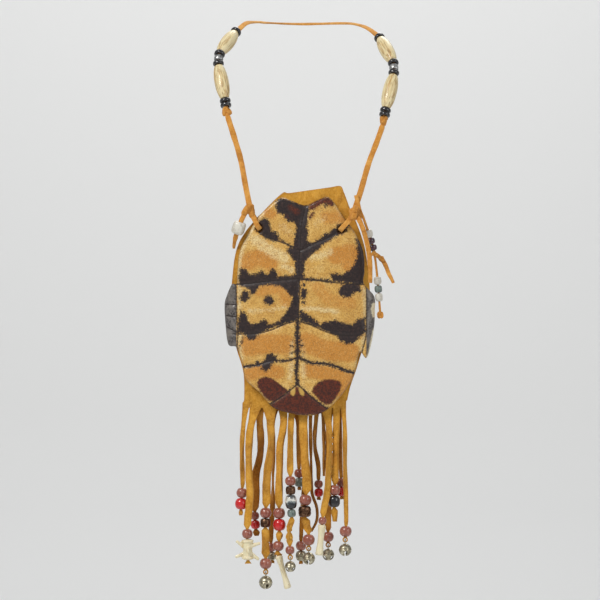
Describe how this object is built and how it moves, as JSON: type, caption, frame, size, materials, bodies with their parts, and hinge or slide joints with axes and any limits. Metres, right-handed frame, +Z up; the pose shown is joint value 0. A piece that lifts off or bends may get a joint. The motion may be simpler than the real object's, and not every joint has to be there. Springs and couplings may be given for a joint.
{
  "type": "beaded medicine bag",
  "caption": "Suede neck pouch with a turtle shell plate lashed to its face, a long beaded fringe and a thong strap.",
  "frame": {"origin": "where the neck strap lies on the nape of the neck, under which the bag hangs", "axes": "+Z up, front towards -Y, +X to the right of the picture"},
  "size_m": [0.1322, 0.1425, 0.4079],
  "materials": {
    "suede": "golden tan suede, napped, cut edges",
    "thong_suede": "orange tan suede lace",
    "shell": "varnished turtle shell, ochre with dark blotches",
    "bone": "aged ivory bone, satin",
    "black_glass": "gloss black",
    "silver": "tarnished silver-coloured metal",
    "rose_wood": "rose-brown wood, waxed",
    "red_glass": "gloss opaque red",
    "bronze": "dark brown metallic",
    "striped_glass": "white and dark striped gloss",
    "grey_glass": "grey-green gloss",
    "white_glass": "off-white satin",
    "plum_glass": "dark plum gloss",
    "bell_metal": "tarnished brassy silver"
  },
  "bodies": {
    "bag": {"turtle_plastron": "shell", "pouch_front_panel": "suede", "pouch_back_panel": "suede", "neck_thong": "thong_suede", "left_lashing": "thong_suede", "right_lashing": "thong_suede", "right_edge_thong": "thong_suede", "right_side_thong": "thong_suede", "left_side_bead": "white_glass", "right_upper_bead_1": "white_glass", "right_upper_bead_2": "plum_glass", "right_upper_bead_3": "plum_glass", "right_lower_bead_1": "white_glass", "right_lower_bead_2": "grey_glass", "right_lower_bead_3": "white_glass", "left_stop_knot": "thong_suede", "left_silver_bead": "silver", "left_disc_1": "black_glass", "left_disc_2": "black_glass", "left_disc_3": "black_glass", "left_disc_4": "black_glass", "left_disc_5": "black_glass", "right_stop_knot": "thong_suede", "right_silver_bead": "silver", "right_disc_1": "black_glass", "right_disc_2": "black_glass", "right_disc_3": "black_glass", "right_disc_4": "black_glass", "right_disc_5": "black_glass", "fringe_a_wood": "rose_wood", "fringe_a_red": "red_glass", "fringe_b_wood": "rose_wood", "fringe_b_vertebra": "bone", "fringe_d_wood": "rose_wood", "fringe_d_bronze": "bronze", "fringe_d_wood_3": "rose_wood", "fringe_e_wood": "rose_wood", "fringe_e_red": "red_glass", "fringe_e_wood_3": "rose_wood", "fringe_e_long_bone": "bone", "fringe_f_wood": "rose_wood", "fringe_f_bronze": "bronze", "fringe_f_striped": "striped_glass", "fringe_f_wood_5": "rose_wood", "fringe_h_wood": "rose_wood", "fringe_h_bronze": "bronze", "fringe_h_wood_3": "rose_wood", "fringe_j_short_bone": "bone", "fringe_l_wood": "rose_wood", "fringe_l_black": "black_glass", "fringe_n_wood": "rose_wood"},
    "bell_d": {"bell_d": "bell_metal"},
    "bell_f": {"bell_f": "bell_metal"},
    "bell_h": {"bell_h": "bell_metal"},
    "bell_k": {"bell_k": "bell_metal"},
    "bell_n": {"bell_n": "bell_metal"},
    "left_hairpipe_1": {"left_hairpipe_1": "bone"},
    "left_hairpipe_2": {"left_hairpipe_2": "bone"},
    "right_hairpipe_1": {"right_hairpipe_1": "bone"},
    "right_hairpipe_2": {"right_hairpipe_2": "bone"}
  },
  "joints": [
    {"name": "left_hairpipe_1_spin", "type": "hinge", "parent": "bag", "child": "left_hairpipe_1", "pos_m": [-0.05539, -0.1046, -0.05032], "axis": [-0.1832, 0.3381, 0.9231], "continuous": true},
    {"name": "left_hairpipe_2_spin", "type": "hinge", "parent": "bag", "child": "left_hairpipe_2", "pos_m": [-0.05173, -0.08456, -0.02071], "axis": [0.3854, 0.7067, 0.5934], "continuous": true},
    {"name": "right_hairpipe_1_spin", "type": "hinge", "parent": "bag", "child": "right_hairpipe_1", "pos_m": [0.0636, -0.10075, -0.05667], "axis": [0.2177, 0.3118, 0.9249], "continuous": true},
    {"name": "right_hairpipe_2_spin", "type": "hinge", "parent": "bag", "child": "right_hairpipe_2", "pos_m": [0.06185, -0.0819, -0.02578], "axis": [-0.3238, 0.6722, 0.6658], "continuous": true},
    {"name": "bell_d_swing", "type": "hinge", "parent": "bag", "child": "bell_d", "pos_m": [-0.02397, -0.12974, -0.39605], "axis": [1, 0, 0], "range_deg": [-35, 35]},
    {"name": "bell_f_swing", "type": "hinge", "parent": "bag", "child": "bell_f", "pos_m": [-0.00677, -0.13557, -0.38535], "axis": [1, 0, 0], "range_deg": [-35, 35]},
    {"name": "bell_h_swing", "type": "hinge", "parent": "bag", "child": "bell_h", "pos_m": [0.00607, -0.13198, -0.37945], "axis": [1, 0, 0], "range_deg": [-35, 35]},
    {"name": "bell_k_swing", "type": "hinge", "parent": "bag", "child": "bell_k", "pos_m": [0.01979, -0.12031, -0.37785], "axis": [1, 0, 0], "range_deg": [-35, 35]},
    {"name": "bell_n_swing", "type": "hinge", "parent": "bag", "child": "bell_n", "pos_m": [0.03162, -0.1282, -0.37365], "axis": [1, 0, 0], "range_deg": [-35, 35]}
  ]
}
